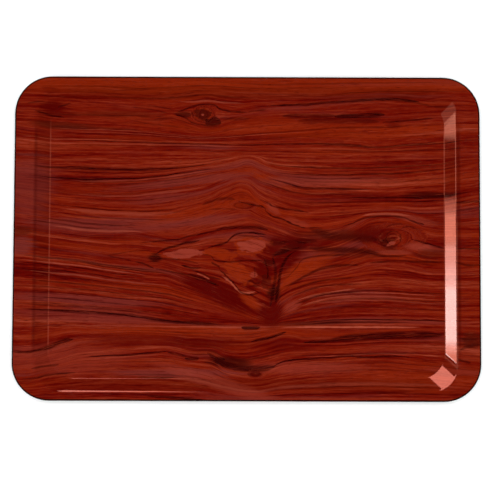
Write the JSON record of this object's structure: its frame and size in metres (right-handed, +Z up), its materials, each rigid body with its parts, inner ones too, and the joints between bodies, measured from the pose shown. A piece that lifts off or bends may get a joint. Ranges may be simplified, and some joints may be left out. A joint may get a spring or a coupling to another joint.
{
  "type": "serving tray",
  "caption": "Shallow rectangular serving tray with rounded corners, a sloping wall and a flat rim that widens into a grip at each short end.",
  "frame": {"origin": "centre of the underside, on the surface that the tray stands on", "axes": "+X along the tray's long side, +Y along its short side, +Z up out of the well"},
  "size_m": [0.46, 0.32, 0.0124],
  "materials": {
    "overlay": "gloss",
    "decor": "gloss",
    "core": "sanded matt",
    "backing": "satin"
  },
  "bodies": {
    "root": {"clear_overlay": "overlay", "decor_sheet": "decor", "core_ply_1": "core", "core_ply_2": "core", "core_ply_3": "core", "core_ply_4": "core", "core_ply_5": "core", "core_ply_6": "core", "core_ply_7": "core", "core_ply_8": "core", "core_ply_9": "core", "core_ply_10": "core", "backing_sheet": "backing"}
  },
  "joints": []
}
